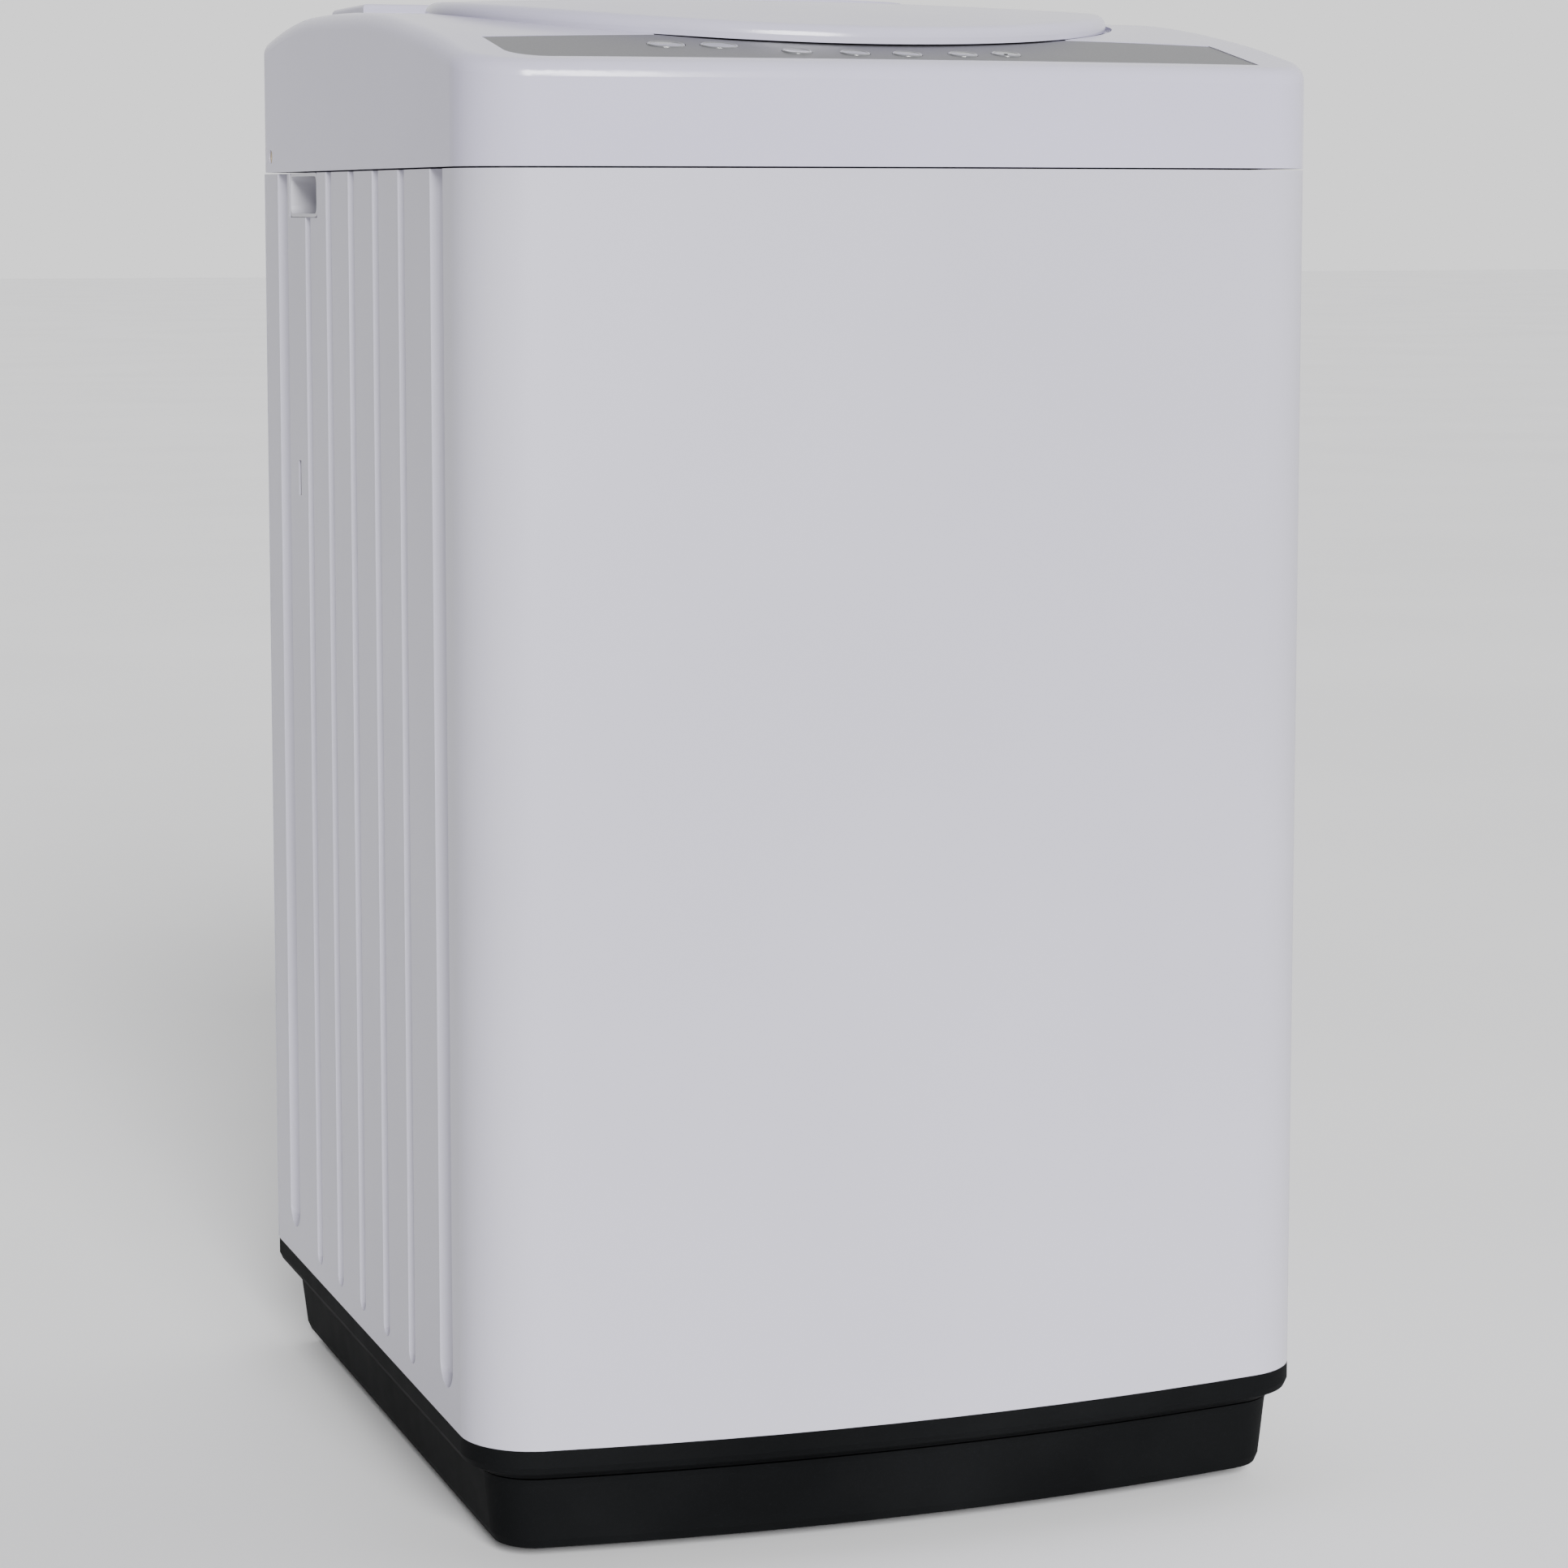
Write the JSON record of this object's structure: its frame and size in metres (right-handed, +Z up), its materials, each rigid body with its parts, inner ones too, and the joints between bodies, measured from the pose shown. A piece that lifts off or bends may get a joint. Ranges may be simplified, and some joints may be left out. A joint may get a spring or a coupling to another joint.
{
  "type": "top load washing machine",
  "caption": "Portable top load washing machine with a bowed white cabinet, black base tray, sloping control panel, round domed lid, hung tub, spin basket and pulsator",
  "frame": {"origin": "on the floor under the middle of the cabinet", "axes": "+Z up, the bowed front with the control panel faces -Y, +X is to the right of a person who faces the front"},
  "size_m": [0.515, 0.542, 0.8922],
  "materials": {
    "white_paint": "smooth white powder coat on sheet steel",
    "white_abs": "glossy white moulded plastic",
    "black_base": "fine matt near-black moulded plastic",
    "panel_grey": "silver-grey printed overlay with a clear gloss face",
    "button_pale": "pale translucent moulded plastic",
    "grip_white": "satin white moulded plastic",
    "galvanised": "zinc coated steel",
    "zinc_yellow": "yellow passivated zinc screw",
    "spring_steel": "oiled spring wire",
    "stainless": "polished stainless sheet",
    "tub_grey": "pale grey moulded polypropylene",
    "hub_alloy": "cast aluminium, blasted",
    "blue_grey": "pale blue-grey moulded plastic",
    "filter_mesh": "pale frame with fine mesh",
    "shaft_steel": "ground steel",
    "gear_iron": "painted cast housing",
    "belt_rubber": "black V-belt rubber",
    "motor_steel": "dark painted motor shell",
    "dark_plastic": "black moulded plastic",
    "board_green": "green lacquered circuit board",
    "valve_white": "white nylon",
    "hose_grey": "grey ribbed hose",
    "foot_rubber": "dark rubber"
  },
  "bodies": {
    "housing": {"base_tray": "black_base", "cabinet": "white_paint", "corner_brackets": "galvanised", "rear_panel": "galvanised", "grip_left": "grip_white", "grip_right": "grip_white", "side_clips": "grip_white", "rear_feet": "foot_rubber", "top_cover": "white_abs", "panel_overlay": "panel_grey", "control_case": "dark_plastic", "control_board": "board_green", "hinge_pins": "shaft_steel", "lid_switch": "dark_plastic", "inlet_valve": "valve_white", "inlet_duct": "blue_grey", "level_sensor": "valve_white", "capacitor": "valve_white", "drain_hose": "hose_grey", "drain_outlet": "dark_plastic", "cord_gland": "foot_rubber", "cover_screws": "zinc_yellow", "rear_screws": "galvanised", "rod_front_left": "galvanised", "spring_front_left": "spring_steel", "rod_rear_left": "galvanised", "spring_rear_left": "spring_steel", "rod_front_right": "galvanised", "spring_front_right": "spring_steel", "rod_rear_right": "galvanised", "spring_rear_right": "spring_steel"},
    "front_foot_left": {"front_foot_left": "foot_rubber"},
    "front_foot_right": {"front_foot_right": "foot_rubber"},
    "lid": {"lid_shell": "white_abs", "lid_liner": "white_abs"},
    "tub_unit": {"outer_tub": "tub_grey", "tub_ring": "tub_grey", "damper_cups": "dark_plastic", "gearbox": "gear_iron", "motor": "motor_steel", "motor_bracket": "galvanised", "drain_valve": "dark_plastic", "drain_actuator": "dark_plastic", "belt": "belt_rubber"},
    "spin_basket": {"basket": "stainless", "basket_hub": "hub_alloy", "balance_ring": "blue_grey", "lint_filter": "filter_mesh"},
    "agitator": {"pulsator": "blue_grey", "drive_shaft": "shaft_steel", "pulsator_screw": "stainless"},
    "drive_pulley": {"tub_pulley": "hub_alloy"},
    "motor_rotor": {"motor_pulley": "hub_alloy"},
    "button_1": {"button_1": "button_pale"},
    "button_2": {"button_2": "button_pale"},
    "button_3": {"button_3": "button_pale"},
    "button_4": {"button_4": "button_pale"},
    "button_5": {"button_5": "button_pale"},
    "button_6": {"button_6": "button_pale"},
    "button_7": {"button_7": "button_pale"}
  },
  "joints": [
    {"name": "lid_hinge", "type": "hinge", "parent": "housing", "child": "lid", "pos_m": [0, 0.214, 0.8825], "axis": [-1, 0, 0], "range_deg": [0, 98]},
    {"name": "foot_left_screw", "type": "slide", "parent": "housing", "child": "front_foot_left", "axis": [0, 0, 1], "range_m": [-0.01, 0]},
    {"name": "foot_right_screw", "type": "slide", "parent": "housing", "child": "front_foot_right", "axis": [0, 0, 1], "range_m": [-0.01, 0]},
    {"name": "tub_bounce", "type": "slide", "parent": "housing", "child": "tub_unit", "axis": [0, 0, 1], "range_m": [-0.03, 0.012], "stiffness_N_per_m": 16000, "springref_m": 0.01447, "deforming": ["spring_front_left", "spring_rear_left", "spring_front_right", "spring_rear_right", "drain_hose"]},
    {"name": "basket_spin", "type": "hinge", "parent": "tub_unit", "child": "spin_basket", "pos_m": [0, 0.001, 0.26], "axis": [0, 0, 1], "continuous": true},
    {"name": "agitator_spin", "type": "hinge", "parent": "tub_unit", "child": "agitator", "pos_m": [0, 0.001, 0.26], "axis": [0, 0, 1], "continuous": true},
    {"name": "pulley_spin", "type": "hinge", "parent": "tub_unit", "child": "drive_pulley", "pos_m": [0, 0.001, 0.16], "axis": [0, 0, 1], "continuous": true},
    {"name": "motor_spin", "type": "hinge", "parent": "tub_unit", "child": "motor_rotor", "pos_m": [0.13, -0.074, 0.16], "axis": [0, 0, 1], "continuous": true},
    {"name": "button_1_press", "type": "slide", "parent": "housing", "child": "button_1", "axis": [0, 0.1961, -0.9806], "range_m": [0, 0.0008], "stiffness_N_per_m": 900, "springref_m": -0.001},
    {"name": "button_2_press", "type": "slide", "parent": "housing", "child": "button_2", "axis": [0, 0.1961, -0.9806], "range_m": [0, 0.0008], "stiffness_N_per_m": 900, "springref_m": -0.001},
    {"name": "button_3_press", "type": "slide", "parent": "housing", "child": "button_3", "axis": [0, 0.1961, -0.9806], "range_m": [0, 0.0008], "stiffness_N_per_m": 900, "springref_m": -0.001},
    {"name": "button_4_press", "type": "slide", "parent": "housing", "child": "button_4", "axis": [0, 0.1961, -0.9806], "range_m": [0, 0.0008], "stiffness_N_per_m": 900, "springref_m": -0.001},
    {"name": "button_5_press", "type": "slide", "parent": "housing", "child": "button_5", "axis": [0, 0.1961, -0.9806], "range_m": [0, 0.0008], "stiffness_N_per_m": 900, "springref_m": -0.001},
    {"name": "button_6_press", "type": "slide", "parent": "housing", "child": "button_6", "axis": [0, 0.1961, -0.9806], "range_m": [0, 0.0008], "stiffness_N_per_m": 900, "springref_m": -0.001},
    {"name": "button_7_press", "type": "slide", "parent": "housing", "child": "button_7", "axis": [0, 0.1961, -0.9806], "range_m": [0, 0.0008], "stiffness_N_per_m": 900, "springref_m": -0.001}
  ],
  "couplings": [
    {"joint": "pulley_spin", "follows": "agitator_spin", "ratio": 4},
    {"joint": "motor_spin", "follows": "agitator_spin", "ratio": 12.638}
  ]
}
